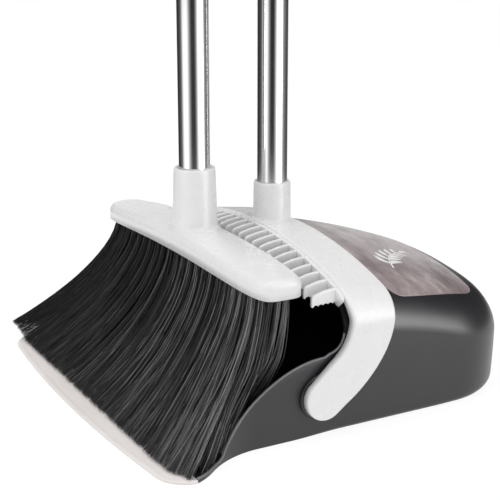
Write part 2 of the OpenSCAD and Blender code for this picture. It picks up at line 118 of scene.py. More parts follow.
class Shape:
    """Vertices and faces that grow part by part, in millimetres."""

    def __init__(self):
        self.verts = []
        self.faces = []

    def add(self, points):
        start = len(self.verts)
        self.verts.extend(points)
        return list(range(start, len(self.verts)))

    def strip(self, a, b, closed=False):
        """Quads between two rows of vertices."""
        count = len(a)
        for i in range(count if closed else count - 1):
            j = (i + 1) % count
            self.faces.append((a[i], a[j], b[j], b[i]))

    def piece(self, name, material, body, slot, *nodes, tidy=True):
        """Makes the mesh object that rides on a body and takes the place of CAD nodes."""
        mesh = bpy.data.meshes.new(name)
        mesh.from_pydata([(x * MM, y * MM, z * MM) for x, y, z in self.verts], [], self.faces)
        if tidy:
            clean(mesh)
        obj = bpy.data.objects.new(name, mesh)
        bpy.context.scene.collection.objects.link(obj)
        mesh.materials.append(material)
        mesh.shade_smooth()
        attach(obj, body)
        if nodes:
            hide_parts(*nodes)
        return obj


def clean(mesh):
    """Merges doubled points and turns all faces outwards."""
    bm = bmesh.new()
    bm.from_mesh(mesh)
    bmesh.ops.remove_doubles(bm, verts=bm.verts, dist=0.00001)
    bmesh.ops.recalc_face_normals(bm, faces=bm.faces)
    bm.to_mesh(mesh)
    bm.free()


def soften(obj, width, segments=2, angle=50):
    """Rounds the edges that turn by more than `angle` degrees; width in millimetres."""
    bevel = obj.modifiers.new("edges", "BEVEL")
    bevel.width = width * MM
    bevel.segments = segments
    bevel.limit_method = "ANGLE"
    bevel.angle_limit = math.radians(angle)


def inward(ring):
    """Normals of a closed 2-D ring, pointing to its inside and longer at its corners."""
    count = len(ring)
    area = sum(ring[i][0] * ring[(i + 1) % count][1] - ring[(i + 1) % count][0] * ring[i][1]
               for i in range(count))
    side = 1 if area > 0 else -1
    normals = []
    for i in range(count):
        ax, ay = ring[i - 1]
        bx, by = ring[i]
        cx, cy = ring[(i + 1) % count]
        e = Vector((bx - ax, by - ay)).normalized()
        f = Vector((cx - bx, cy - by)).normalized()
        m = Vector((-(e.y + f.y), e.x + f.x)) * side
        m.normalize()
        spread = max(0.75, m.dot(Vector((-e.y, e.x)) * side))
        normals.append(m / spread)
    return normals


def slab(shape, front, back, place, thick, r, cols, pocket=None, steps=5):
    """A plate over an outline with a rounded upper edge.

    front and back are chains of (u, v) points that share both ends; place(u, v, n) is the point
    at height n over the face, thick(u, v) the thickness and r the edge's radius; cols faces span
    the plate from chain to chain; pocket=(wall, depth) hollows it from below.
    """
    ring = list(front) + list(reversed(back[1:-1]))
    normals = inward(ring)
    count = len(front)

    def loop(inset, height):
        points = []
        for (u, v), n in zip(ring, normals):
            p, q = u + n.x * inset, v + n.y * inset
            points.append(place(p, q, height(p, q)))
        return shape.add(points)

    def fill(loop_ids, inset, height, flip):
        rows = []
        for i in range(count):
            a = loop_ids[i]
            if i in (0, count - 1):
                rows.append([a])
                continue
            j = len(ring) - i
            (ua, va), (ub, vb) = ring[i], ring[j]
            na, nb = normals[i], normals[j]
            start = (ua + na.x * inset, va + na.y * inset)
            end = (ub + nb.x * inset, vb + nb.y * inset)
            inner = []
            for k in range(1, cols):
                u, v = mix(start[0], end[0], k / cols), mix(start[1], end[1], k / cols)
                inner.append(place(u, v, height(u, v)))
            rows.append([a] + shape.add(inner) + [loop_ids[j]])
        for p, q in zip(rows, rows[1:]):
            if len(p) == 1:
                p = p * len(q)
            if len(q) == 1:
                q = q * len(p)
            for k in range(cols):
                face = list(dict.fromkeys((p[k], p[k + 1], q[k + 1], q[k])))
                if len(face) > 2:
                    shape.faces.append(tuple(reversed(face)) if flip else tuple(face))

    bottom = loop(0, lambda u, v: -thick(u, v))
    last = bottom
    for step in range(steps + 1):
        a = math.pi / 2 * step / steps
        now = loop(r * (1 - math.cos(a)), lambda u, v: -r * (1 - math.sin(a)))
        shape.strip(last, now, closed=True)
        last = now
    fill(last, r, lambda u, v: 0.0, False)
    if pocket:
        edge, depth = pocket
        inner = loop(edge, lambda u, v: -thick(u, v))
        roof = loop(edge, lambda u, v: depth - thick(u, v))
        shape.strip(inner, bottom, closed=True)
        shape.strip(roof, inner, closed=True)
        fill(roof, edge, lambda u, v: depth - thick(u, v), True)
    else:
        fill(bottom, 0, lambda u, v: -thick(u, v), True)


def lathe(shape, profile, place, turns=96):
    """Closed profile of (r, h) turned about an axis; place(a, b, h) gives each point.

    a and b lie across the axis and h along it; whatever follows h in the profile is passed on too.
    """
    rings = []
    for r, *rest in profile:
        ring = []
        for i in range(turns):
            a = 2 * math.pi * i / turns
            ring.append(place(r * math.cos(a), r * math.sin(a), *rest))
        rings.append(shape.add(ring))
    for a, b in zip(rings, rings[1:] + rings[:1]):
        shape.strip(a, b, closed=True)


# ---------- materials ----------

def fill_ramp(ramp, stops):
    """Gives a colour ramp its stops of (place, colour), in rising order."""
    first, last = ramp.elements
    first.position, last.position = stops[0][0], stops[-1][0]
    first.color, last.color = (*stops[0][1], 1), (*stops[-1][1], 1)
    for place, colour in stops[1:-1]:
        ramp.elements.new(place).color = (*colour, 1)


def set_inputs(node, **values):
    """Sets a node's inputs by name, with _ for each space."""
    for name, value in values.items():
        node.inputs[name.replace("_", " ")].default_value = value


def add_node(tree, kind, **values):
    node = tree.nodes.new("ShaderNode" + kind)
    set_inputs(node, **values)
    return node


class Nodes:
    """A new material with a Principled shader and short ways to add nodes to it."""

    def __init__(self, name):
        self.material = bpy.data.materials.new(name)
        self.material.use_nodes = True
        self.tree = self.material.node_tree
        self.shader = next(n for n in self.tree.nodes if n.type == "BSDF_PRINCIPLED")
        self.coords = add_node(self.tree, "TexCoord").outputs["Object"]

    def link(self, output, target):
        self.tree.links.new(output, target)

    def noise(self, scale, detail=3.0, stretch=(1, 1, 1), rough=0.5):
        mapping = add_node(self.tree, "Mapping", Scale=stretch)
        self.link(self.coords, mapping.inputs["Vector"])
        node = add_node(self.tree, "TexNoise", Scale=scale, Detail=detail, Roughness=rough)
        self.link(mapping.outputs["Vector"], node.inputs["Vector"])
        return node.outputs["Fac"]

    def ramp(self, value, *stops):
        node = add_node(self.tree, "ValToRGB")
        fill_ramp(node.color_ramp, stops)
        self.link(value, node.inputs["Fac"])
        return node.outputs["Color"]

    def spread(self, value, low, high):
        """Lays a noise value between two numbers."""
        node = add_node(self.tree, "MapRange", From_Min=0.3, From_Max=0.7, To_Min=low, To_Max=high)
        self.link(value, node.inputs["Value"])
        return node.outputs["Result"]

    def bump(self, value, strength, distance=0.0002):
        node = add_node(self.tree, "Bump", Strength=strength, Distance=distance)
        self.link(value, node.inputs["Height"])
        self.link(node.outputs["Normal"], self.shader.inputs["Normal"])


def plastic(name, dark, light, rough, grain, strength, specular=0.5):
    """Moulded plastic: faint colour drift, uneven gloss and a fine grain."""
    m = Nodes(name)
    set_inputs(m.shader, Specular_IOR_Level=specular)
    m.link(m.ramp(m.noise(18, 4), (0.3, dark), (0.7, light)), m.shader.inputs["Base Color"])
    m.link(m.spread(m.noise(60, 5), *rough), m.shader.inputs["Roughness"])
    m.bump(m.noise(grain, 2), strength)
    return m.material


def brushed_metal(name, colour, rough):
    m = Nodes(name)
    streaks = m.noise(900, 3, stretch=(1, 1, 0.02))
    m.link(m.ramp(streaks, (0.2, [0.93 * c for c in colour]), (0.8, colour)),
           m.shader.inputs["Base Color"])
    m.link(m.spread(m.noise(40, 5, stretch=(1, 1, 0.15)), *rough), m.shader.inputs["Roughness"])
    m.bump(streaks, 0.02, 0.00005)
    set_inputs(m.shader, Metallic=1.0)
    return m.material


def make_label():
    """Printed film: soft mauve-grey cloud pattern under a glossy face."""
    m = Nodes("label_film")
    clouds = m.noise(34, 6, stretch=(1, 2.2, 1), rough=0.62)
    m.link(m.ramp(clouds, (0.34, (0.17, 0.13, 0.135)), (0.46, (0.26, 0.205, 0.21)),
                  (0.56, (0.33, 0.27, 0.275)), (0.72, (0.5, 0.42, 0.42))),
           m.shader.inputs["Base Color"])
    m.link(m.spread(m.noise(120, 3), 0.26, 0.36), m.shader.inputs["Roughness"])
    m.bump(m.noise(300, 2), 0.03)
    set_inputs(m.shader, Coat_Weight=0.4, Coat_Roughness=0.15)
    return m.material


def make_bristle():
    """Extruded filament; each one has its own shade, stored in the mesh as `shade`: a random tone,
    with painted light that makes strands lighter towards the brush's +x side and painted shade that
    darkens the thick filler strands.
    """
    m = Nodes("bristle_filament")
    shade = add_node(m.tree, "Attribute")
    shade.attribute_name = "shade"
    m.link(m.ramp(shade.outputs["Fac"], (0.0, (0.006, 0.006, 0.007)), (0.5, (0.026, 0.026, 0.028)),
                  (0.78, (0.085, 0.085, 0.088)), (1.0, (0.24, 0.24, 0.24))),
           m.shader.inputs["Base Color"])
    m.link(m.spread(m.noise(150, 2), 0.32, 0.5), m.shader.inputs["Roughness"])
    set_inputs(m.shader, Specular_IOR_Level=0.45)
    return m.material


white_plastic = plastic("white_plastic", (0.79, 0.786, 0.784), (0.805, 0.802, 0.802),
                        (0.25, 0.31), 450, 0.012, specular=0.42)
black_plastic = plastic("black_plastic", (0.0105, 0.0105, 0.0125), (0.013, 0.013, 0.015),
                        (0.32, 0.36), 600, 0.015, specular=0.6)
# lighter grey than the black pan: a painted highlight along the walls' rim
rim_painted_highlight = plastic("rim_painted_highlight", (0.17, 0.17, 0.18), (0.2, 0.2, 0.212),
                      (0.42, 0.5), 600, 0.015)
lip_rubber = plastic("lip_rubber", (0.76, 0.71, 0.69), (0.81, 0.77, 0.75),
                     (0.5, 0.62), 700, 0.06)
grey_plastic = plastic("grey_plastic", (0.3, 0.31, 0.32), (0.36, 0.37, 0.38),
                       (0.4, 0.5), 900, 0.06)
grip_rubber = plastic("grip_rubber", (0.5, 0.5, 0.51), (0.58, 0.58, 0.59),
                      (0.55, 0.7), 1100, 0.12)
block_plastic = plastic("block_plastic", (0.015, 0.015, 0.017), (0.03, 0.03, 0.032),
                        (0.45, 0.6), 900, 0.1)
ornament_ink = plastic("ornament_ink", (0.78, 0.77, 0.77), (0.84, 0.83, 0.83),
                       (0.3, 0.4), 500, 0.03)
tube_steel = brushed_metal("tube_steel", (0.8, 0.8, 0.81), (0.1, 0.16))
zinc = brushed_metal("zinc", (0.6, 0.61, 0.62), (0.28, 0.4))
label_film = make_label()
bristle_filament = make_bristle()


# ---------- hood, walls and floor of the pan ----------

hood_front_y = -5.0
hood_slope = 0.1491                 # fall of the hood's crown per millimetre to the rear
hood_sag, sag_y = 0.0011, 28.0      # behind sag_y the crown also curves down
crown_r = 355.0                     # the crown's radius from side to side
shoulder = 20.7                     # radius that turns the hood into the walls
wall_swell, hood_swell = 1.3, 1.05  # how far walls and hood edge bulge towards the rear
rear_corner = 58.5
front_corner = 22.0
front_bow = 0.0004                  # the front edge's bow, per square millimetre of x
edge_x = mouth_x - front_corner     # middle of the rounded front corner
edge_y = front_y + front_bow * edge_x ** 2 + front_corner
rim_turn = (-17.6, 67.2, 12.6)      # the rim's arc under the hood: (y, z, radius)
rim_turn_end = -82.0                # where that arc meets the swept rim, in degrees
rim_sweep = (-100.5, 82.0, 52.8)    # the swept rim's foot (y), run and rise
flare_y = -72.0                     # from here the walls flare out to the front corners
flare_bends = ((126.6, -93), (141.5, -110), (147.4, -117))
front_points = 12                   # points of the outline's straight front, on each side


def hood_z(x, y):
    """Height of the hood's crown surface, before its edge turns down."""
    fall = hood_slope * (y - hood_front_y) + hood_sag * max(y - sag_y, 0) ** 2
    return hood_h - fall - (crown_r - math.sqrt(crown_r ** 2 - x * x))


def rearward(y):
    """0 at the middle of the pan, 1 near its rear."""
    return ease(40, 140, y)


def on_hood(x, y, n):
    """Point at height n over the hood's skin, shoulders included."""
    reach = max(0.0, abs(x) - (body_x - shoulder) - hood_swell * rearward(y))
    over = min(0.95 * shoulder, reach)
    return (x, y, hood_z(x, y) - (shoulder - math.sqrt(shoulder ** 2 - over ** 2)) + n)


def rim_z(y):
    """Height of the side walls' rim: an arc under the hood, then a sweep down to the floor."""
    cy, cz, r = rim_turn
    if y >= cy + r * math.cos(math.radians(rim_turn_end)):
        return cz - math.sqrt(max(0.0, r * r - (y - cy) ** 2))
    foot_y, run, rise = rim_sweep
    t = max(0.0, (y - foot_y) / run)
    return max(wall + 0.2, rise * math.sin(math.pi / 2 * t ** 0.85))


def corner_angle(y):
    """Where the rounded front corner of pan and lip passes `y`, in degrees."""
    return math.degrees(math.asin((y - edge_y) / front_corner))


def pan_outline():
    """Right half of the outline, rear middle to front middle.

    Also gives the places of the rear corner's middle and of the hood's front edge in it.
    """
    corner_x, corner_y = body_x - rear_corner, rear_y - rear_corner
    points = [(corner_x * i / 10, rear_y) for i in range(10)]
    mid_corner = len(points) + 9
    points += arc(corner_x, corner_y, rear_corner, 90, 0, 18)
    points += [(body_x, mix(corner_y, hood_front_y, i / 14)) for i in range(1, 15)]
    hood_end = len(points) - 1
    turn_y, _, turn_r = rim_turn
    points += [(body_x, turn_y + turn_r * math.cos(math.radians(rim_turn_end * i / 10)))
               for i in range(1, 11)]
    points += [(body_x, mix(points[-1][1], flare_y, i / 16)) for i in range(1, 17)]
    lip_y = lip_high.y + 0.15
    foot = arc(edge_x, edge_y, front_corner, corner_angle(lip_y), 0, 1)[0]
    points += curve((body_x, flare_y), flare_bends[0], flare_bends[1], 12)
    points += curve(flare_bends[1], flare_bends[2], foot, 7)
    points += [(mix(foot[0], 0, i / front_points), lip_y) for i in range(1, front_points + 1)]
    return points, mid_corner, hood_end


def make_pan_shell():
    """Floor, walls and hood as one sheet that is then thickened inwards."""
    half, mid_corner, hood_end = pan_outline()
    ring = half + [(-x, y) for x, y in reversed(half[1:-1])]
    normals = inward(ring)
    count = len(ring)
    shape = Shape()

    def shoulder_z(x, y):
        return hood_z(x, y) - shoulder

    split_share = rim_turn[1] / shoulder_z(body_x, hood_front_y)
    uppers = [shoulder_z(x, y) * split_share if min(i, count - i) <= hood_end else rim_z(y)
              for i, (x, y) in enumerate(ring)]

    def point(i, inset, z):
        (x, y), n = ring[i], normals[i]
        swell = wall_swell * rearward(y) * math.sin(math.pi * min(1.0, max(0.0, z / 80)))
        return (x + n.x * (inset - swell), y + n.y * (inset - swell), z)

    def foot_r(i):
        """Radius between floor and wall, larger to the rear."""
        y = ring[i][1]
        return 0.9 + 2.7 * ease(-45, -5, y) + 4.4 * ease(70, 145, y)

    rows = []
    for step in range(6):
        a = math.pi / 2 * step / 5
        side, up = 1 - math.sin(a), 1 - math.cos(a)
        rows.append(shape.add([point(i, foot_r(i) * side, foot_r(i) * up) for i in range(count)]))
    for step in range(1, 13):
        share = step / 12
        rows.append(shape.add([point(i, 0, mix(foot_r(i), uppers[i], share)) for i in range(count)]))
    for a, b in zip(rows, rows[1:]):
        shape.strip(a, b, closed=True)
    shape.faces.append(tuple(reversed(rows[0])))

    # the hood rises from the walls behind its front edge and turns inwards
    hood = [i % count for i in range(hood_end, -hood_end - 1, -1)]
    edge = [rows[-1][i] for i in hood]
    for share in (0.5, 1.0):
        higher = shape.add([point(i, 0, mix(uppers[i], shoulder_z(*ring[i]), share)) for i in hood])
        shape.strip(edge, higher)
        edge = higher
    for step in range(1, 11):
        a = math.pi / 2 * step / 10
        inset, drop = shoulder * (1 - math.cos(a)), shoulder * (1 - math.sin(a))
        points = []
        for i in hood:
            x, y, _ = point(i, inset, shoulder_z(*ring[i]))
            points.append((x, y, hood_z(x, y) - drop))
        higher = shape.add(points)
        shape.strip(edge, higher)
        edge = higher
    close_crown(shape, edge, hood_end - mid_corner)

    obj = shape.piece("pan_shell", black_plastic, "pan", "pan_black", "pan_body")
    crown = max(obj.data.polygons, key=lambda face: face.center.z)
    if crown.normal.z < 0:
        obj.data.flip_normals()
    thicken = obj.modifiers.new("wall", "SOLIDIFY")
    thicken.thickness = wall * MM
    thicken.offset = -1
    thicken.use_even_offset = True
    soften(obj, 1.0, 3)


def close_crown(shape, edge, side):
    """Stretches the hood's crown between its sides; edge has `side` steps on the right and left."""
    right, rear = edge[:side + 1], edge[side:len(edge) - side]
    left = edge[len(edge) - side - 1:][::-1]
    across = len(rear) - 1
    a, b = Vector(shape.verts[right[0]]), Vector(shape.verts[left[0]])
    flat = [a.lerp(b, i / across) for i in range(1, across)]
    front = [right[0]] + shape.add([(p.x, p.y, hood_z(p.x, p.y)) for p in flat]) + [left[0]]

    def at(row, i):
        x, y, _ = shape.verts[row[i]]
        return Vector((x, y))

    grid = [front]
    for j in range(1, side):
        v = j / side
        inner = []
        for i in range(1, across):
            u = i / across
            p = (at(front, i) * (1 - v) + at(rear, i) * v + at(right, j) * (1 - u) + at(left, j) * u
                 - (at(front, 0) * (1 - u) + at(front, across) * u) * (1 - v)
                 - (at(rear, 0) * (1 - u) + at(rear, across) * u) * v)
            inner.append((p.x, p.y, hood_z(p.x, p.y)))
        grid.append([right[j]] + shape.add(inner) + [left[j]])
    grid.append(rear)
    for p, q in zip(grid, grid[1:]):
        shape.strip(p, q)


def make_rim():
    """Satin bead along the swept rim of both side walls, in a lighter grey that paints the rim's
    highlight.
    """
    half, _, hood_end = pan_outline()
    path = half[hood_end:-front_points]
    section = ((0.1, -0.4), (0.1, 0.25), (0.55, 0.6),
               (wall - 0.55, 0.6), (wall - 0.1, 0.25), (wall - 0.1, -0.4))
    shape = Shape()
    for side in (-1, 1):
        line = [Vector((side * x, y, rim_z(y))) for x, y in path]
        rows = []
        for i, here in enumerate(line):
            ahead = line[min(i + 1, len(line) - 1)] - line[max(i - 1, 0)]
            into = Vector((-ahead.y, ahead.x, 0)) if side < 0 else Vector((ahead.y, -ahead.x, 0))
            into.normalize()
            if into.x * side > 0.2:
                into.negate()
            up = ahead.cross(into).normalized()
            if up.z - up.y < 0:
                up.negate()
            rows.append(shape.add([tuple(here + into * a + up * b) for a, b in section]))
        for a, b in zip(rows, rows[1:]):
            shape.strip(a, b, closed=True)
        shape.faces.extend((tuple(rows[0]), tuple(reversed(rows[-1]))))
    shape.piece("pan_rim_bead", rim_painted_highlight, "pan", "pan_black")


def on_pivot(side):
    """Placer for lathe: turned about the pivot's axis, h outwards from the pan's middle."""
    return lambda a, b, h: (side * h, pivot[0] + a, pivot[1] + b)


def make_bosses():
    """Round seats behind the arms' ends, with a stepped rim."""
    profile = [(5.2, 118.2), (10, 118.2), (10, 125.0), (15.4, 125.2), (15.4, 126.6), (15.1, 127.2),
               (14.4, 127.45), (12.4, 127.45), (12.1, 126.9), (7.2, 126.9), (6.9, 127.45),
               (5.4, 127.45), (5.2, 127.2)]
    shape = Shape()
    for side in (-1, 1):
        lathe(shape, profile, on_pivot(side), 72)
    shape.piece("pan_pivot_bosses", black_plastic, "pan", "pan_black")


def make_lip():
    """Flexible lip: a thin blade with a bead along its front and fine ribs along its joint."""
    rear = lip_high.y
    stop = corner_angle(rear - 1.5)
    half = edge_x + front_corner * math.cos(math.radians(stop))
    right = arc(edge_x, edge_y, front_corner, stop, -90, 8)
    start_y = right[0][1]
    for i in range(1, 41):
        x = edge_x * (1 - i / 40)
        right.append((x, front_y + front_bow * x ** 2))
    ends = [(half, mix((start_y + rear) / 2, start_y, i / 4)) for i in range(4)]
    front = ends + right
    front = front + [(-x, y) for x, y in reversed(front[:-1])]
    back_ends = [(half, mix((start_y + rear) / 2, rear, i / 4)) for i in range(1, 5)]
    steps = len(front) - 9          # both chains need the same number of points
    flat = [(mix(half, -half, i / steps), rear) for i in range(1, steps)]
    back = [front[0]] + back_ends + flat + [(-x, y) for x, y in reversed(back_ends)] + [front[-1]]

    def face(u, v):
        t = ease(front_y, rear, v)
        bead = 0.35 * math.exp(-((v - front_y - front_bow * u * u - 2.2) / 0.9) ** 2)
        ribs = 0.16 * math.sin(v * 2.4) * ease(-133, -129, v)
        return 1.35 + 0.95 * t + bead + ribs

    shape = Shape()
    slab(shape, front, back, lambda u, v, n: (u, v, face(u, v) + n), face, 0.5, 40, steps=3)
    shape.piece("lip_blade", lip_rubber, "pan", "lip_tpr", "front_lip")


def rounded_chains(x0, x1, y0, y1, r, steps):
    """Front and back chains of a rectangle with round corners, running along x."""
    corner = [(r * (1 - math.sin(a)), r * (1 - math.cos(a)))
              for a in (math.pi / 2 * (1 - i / 6) for i in range(7))]
    xs = [c[0] for c in corner] + [mix(r, (x1 - x0) - r, i / steps) for i in range(1, steps)]
    xs += [(x1 - x0) - c[0] for c in reversed(corner)]
    cuts = [c[1] for c in corner] + [0] * (steps - 1) + [c[1] for c in reversed(corner)]
    middle = (y0 + y1) / 2
    front = [(x0, middle)] + [(x0 + x, y0 + c) for x, c in zip(xs, cuts)] + [(x1, middle)]
    back = [(x0, middle)] + [(x0 + x, y1 - c) for x, c in zip(xs, cuts)] + [(x1, middle)]
    return front, back


film_half, film_rear_y, film_corner = 116.0, 127.5, 15.0
film_lift, film_t = 0.42, 0.38      # the label's face over the hood, and its thickness
ink_lift = 0.56                     # the ornament's face over the hood


def make_label_piece():
    front, back = rounded_chains(-film_half, film_half, label_low.y, film_rear_y, film_corner, 60)

    def place(u, v, n):
        """Narrows the film to the rear and bows its rear edge with the hood."""
        x = u * (1 - 1.15e-5 * max(v - 30, 0) ** 2)
        y = v - 0.0005 * u * u * (v - label_low.y) / (film_rear_y - label_low.y)
        return on_hood(x, y, film_lift + n)

    shape = Shape()
    slab(shape, front, back, place, lambda u, v: film_t, 0.15, 40, steps=2)
    shape.piece("label_film", label_film, "pan", "label_print", "hood_label")


def raise_print(shape, sides):
    """A raised band of print between two chains of points on the label."""
    low = [shape.add([on_hood(p.x, p.y, film_lift) for p in row]) for row in sides]
    high = [shape.add([on_hood(p.x, p.y, ink_lift) for p in row]) for row in sides]
    for a, b in ((low[0], high[0]), (high[0], high[1]), (high[1], low[1])):
        shape.strip(a, b)


def make_ornament():
    """A plain sprig: a bowed stem with paired leaves, as thin raised print."""
    shape = Shape()
    start, end, bow = Vector((84, 62)), Vector((50, 92)), 6.0
    along = (end - start).normalized()
    across = Vector((-along.y, along.x))

    def stem(t):
        return start.lerp(end, t) + across * bow * math.sin(math.pi * t)

    def leaf(base, direction, length, width):
        side = Vector((-direction.y, direction.x))
        sides = [[], []]
        for i in range(11):
            t = i / 10
            bend = side * length * 0.12 * math.sin(math.pi * t)
            middle = base + direction * length * t + bend
            w = width * math.sin(math.pi * min(1, t * 0.96 + 0.02)) ** 0.8 / 2
            sides[0].append(middle + side * w)
            sides[1].append(middle - side * w)
        raise_print(shape, sides)

    sides = [[], []]
    for i in range(25):
        t = i / 24
        middle = stem(t)
        ahead = (stem(min(1, t + 0.01)) - stem(max(0, t - 0.01))).normalized()
        w = mix(0.75, 0.3, t)
        sides[0].append(middle + Vector((-ahead.y, ahead.x)) * w)
        sides[1].append(middle - Vector((-ahead.y, ahead.x)) * w)
    raise_print(shape, sides)
    for i in range(5):
        t = 0.16 + 0.17 * i
        ahead = (stem(t + 0.02) - stem(t)).normalized()
        for side in (-1, 1):
            a = math.radians(48 * side)
            turned = Vector((ahead.x * math.cos(a) - ahead.y * math.sin(a),
                             ahead.x * math.sin(a) + ahead.y * math.cos(a)))
            leaf(stem(t), turned, mix(14, 9, i / 4), mix(4.6, 3.0, i / 4))
    leaf(stem(0.98), (stem(1.0) - stem(0.95)).normalized(), 10, 3.6)
    shape.piece("label_ornament", ornament_ink, "pan", "label_print")


# ---------- yoke and comb ----------

band_front_y, band_rear_y = -6.0, 30.0
yoke_top_z = 117.5
yoke_crown_r, yoke_shoulder_r = 360.0, 26.0
yoke_wall = 6.0                             # thickness of the arms
band_thinning = 2.2                         # how much thinner the band is at its crown
arm_tip_r = 14.0
arm_bend = (pivot[0] - 12.5, pivot[1] + 50.8)       # middle of the arms' bend: (y, z)
arm_inner_r, arm_outer_r = 32.5, 65.0
slope = math.tan(math.radians(7))           # the band's fall to the rear
crown_turn = math.asin((arm_out_x - yoke_shoulder_r) / (yoke_crown_r - yoke_shoulder_r))
crown_len = yoke_crown_r * crown_turn
shoulder_len = yoke_shoulder_r * (math.pi / 2 - crown_turn)
side_start = crown_len + shoulder_len
side_z = yoke_top_z - yoke_crown_r + (yoke_crown_r - yoke_shoulder_r) * math.cos(crown_turn)


def arch(s):
    """Point and normal (x, z, nx, nz) of the yoke's outer face, s millimetres from the crown."""
    side, s = (-1 if s < 0 else 1), abs(s)
    if s <= crown_len:
        a = s / yoke_crown_r
        x, z = yoke_crown_r * math.sin(a), yoke_top_z - yoke_crown_r * (1 - math.cos(a))
    elif s <= side_start:
        a = crown_turn + (s - crown_len) / yoke_shoulder_r
        x = arm_out_x - yoke_shoulder_r * (1 - math.sin(a))
        z = side_z + yoke_shoulder_r * math.cos(a)
    else:
        a = math.pi / 2
        x, z = arm_out_x, side_z - (s - side_start)
    return side * x, z, side * math.sin(a), math.cos(a)


def on_yoke(s, y, n):
    x, z, nx, nz = arch(s)
    return (x + nx * n, y, z + nz * n - (y - band_front_y) * slope * nz)


def arm_edges():
    """Front and rear edge of an arm as (z, y) chains with rising z."""
    bend_y, bend_z = arm_bend
    front = [(136, band_front_y), (98, band_front_y), (94, band_front_y + 0.1)]
    for turn in range(0, 55, 3):
        a = math.radians(turn)
        front.append((bend_z - arm_inner_r * math.sin(a), bend_y + arm_inner_r * math.cos(a)))
    front += [(z, y) for y, z in arc(*pivot, arm_tip_r, 140, 270, 26)]
    back = [(bend_z + 60, band_rear_y), (108, band_rear_y)]
    for turn in range(0, 65, 3):
        a = math.radians(turn)
        r = arm_outer_r - 3 * math.sin(2 * a) ** 2
        back.append((bend_z - r * math.sin(a), bend_y + r * math.cos(a)))
    back += [(z, y) for y, z in arc(*pivot, arm_tip_r, -50, -90, 10)]
    return sorted(front), sorted(back)


def make_yoke():
    front_edge, back_edge = arm_edges()
    tip_z = pivot[1] - arm_tip_r
    heights = [tip_z + arm_tip_r * (1 - math.cos(math.pi / 2 * i / 12)) for i in range(13)]
    heights += [mix(side_z, tip_z + arm_tip_r, i / 26) for i in range(1, 26)]
    places = [mix(0, crown_len, i / 30) for i in range(31)]
    places += [crown_len + shoulder_len * i / 12 for i in range(1, 13)]
    places += sorted(set(side_start + side_z - z for z in heights))
    places = [-s for s in reversed(places[1:])] + places

    front, back = [], []
    for s in places:
        z = arch(s)[1]
        if z < tip_z + 0.001:
            front.append((s, pivot[0]))
            back.append((s, pivot[0]))
            continue
        front.append((s, between(front_edge, z)))
        back.append((s, between(back_edge, z)))
    shape = Shape()
    slab(shape, front, back, on_yoke, lambda s, y: yoke_wall - band_thinning * arch(s)[3] ** 2,
         1.7, 16)
    pin = [(1.7, 118), (4.4, 118), (5, 118.8), (5, 129), (1.7, 129)]
    for side in (-1, 1):
        lathe(shape, pin, on_pivot(side), 48)
    shape.piece("yoke_bail", white_plastic, "handle", "white_plastic", "yoke")


def socket(shape, y, surface, top_z, top_r, foot_r, fillet, bottom_z):
    """A pole socket that flares softly into the surface under it and has a rounded mouth.

    Its profile is (r, h, lift): lift says how far a ring follows that surface.
    """
    base = surface(0, y)
    mouth_r, edge = tube_r + 0.12, 1.2
    profile = []
    for i in range(9):
        a = math.pi / 2 * (1 - i / 8)
        profile.append((foot_r + fillet * (1 - math.cos(a)),
                        base + fillet * (1 - math.sin(a)) - 0.15, 1 - 0.35 * i / 8))
    for i in range(1, 11):
        t = i / 10
        profile.append((mix(foot_r, top_r, t), mix(base + fillet, top_z - edge, t),
                        0.65 * (1 - t) ** 2))
    for i in range(1, 6):
        a = math.pi / 2 * i / 5
        profile.append((top_r - edge * (1 - math.cos(a)), top_z - edge * (1 - math.sin(a)), 0))
    profile += [(mouth_r + 0.4, top_z, 0), (mouth_r, top_z - 0.5, 0), (mouth_r, bottom_z, 0),
                (foot_r + fillet, bottom_z, 0)]
    lathe(shape, profile,
          lambda a, b, h, lift: (a, y + b, h + (surface(a, y + b) - base) * lift))


def yoke_top(x, y):
    drop = yoke_crown_r - math.sqrt(yoke_crown_r ** 2 - x * x)
    return yoke_top_z - drop - (y - band_front_y) * slope


def make_yoke_socket():
    shape = Shape()
    socket(shape, pan_pole_y, yoke_top, 143, 13.4, 13.9, 1.6, 112.5)
    shape.piece("yoke_socket", white_plastic, "handle", "white_plastic")


comb_pitch, comb_half = 9.8, 12             # tooth spacing, and teeth on each side of the middle
tooth_len, tooth_h, tooth_t = 20.5, 10.5, 2.3
tooth_steps, scallops = 60, 5
scallop_start, scallop_h = 1.2, 1.25
scallop_len = (tooth_len - 2 * scallop_start) / scallops
rail_y = (-8.9, -5.7)                       # front and rear of the rail that carries the teeth
comb_top = [arch(s)[:2] for s in range(0, int(side_start), 2)]


def tooth_chains(crown):
    """Upper and lower edge of one tooth as (y, z), with scallops along the lower one."""
    top, low = [], []
    for i in range(tooth_steps + 1):
        t = i / tooth_steps
        along = tooth_len * t
        y = band_front_y + 0.6 - along - 0.6 * t
        tip = max(0.0, (t - 0.94) / 0.06)
        rounding = 1 - math.sqrt(max(0, 1 - tip * tip))
        wave = 0.0
        if scallop_start < along < scallop_start + scallops * scallop_len:
            u = ((along - scallop_start) / scallop_len) % 1.0
            wave = scallop_h * math.sqrt(max(0.0, 1 - (2 * u - 1) ** 2))
        top.append((y, crown - 3.6 * t ** 2.2 - 2.2 * rounding))
        low.append((y, crown - tooth_h - 0.6 * t * t + wave + 0.9 * rounding))
    start = (top[0][0], (top[0][1] + low[0][1]) / 2)
    end = (top[-1][0] - 0.02, (top[-1][1] + low[-1][1]) / 2)
    return [start] + top + [end], [start] + low + [end]


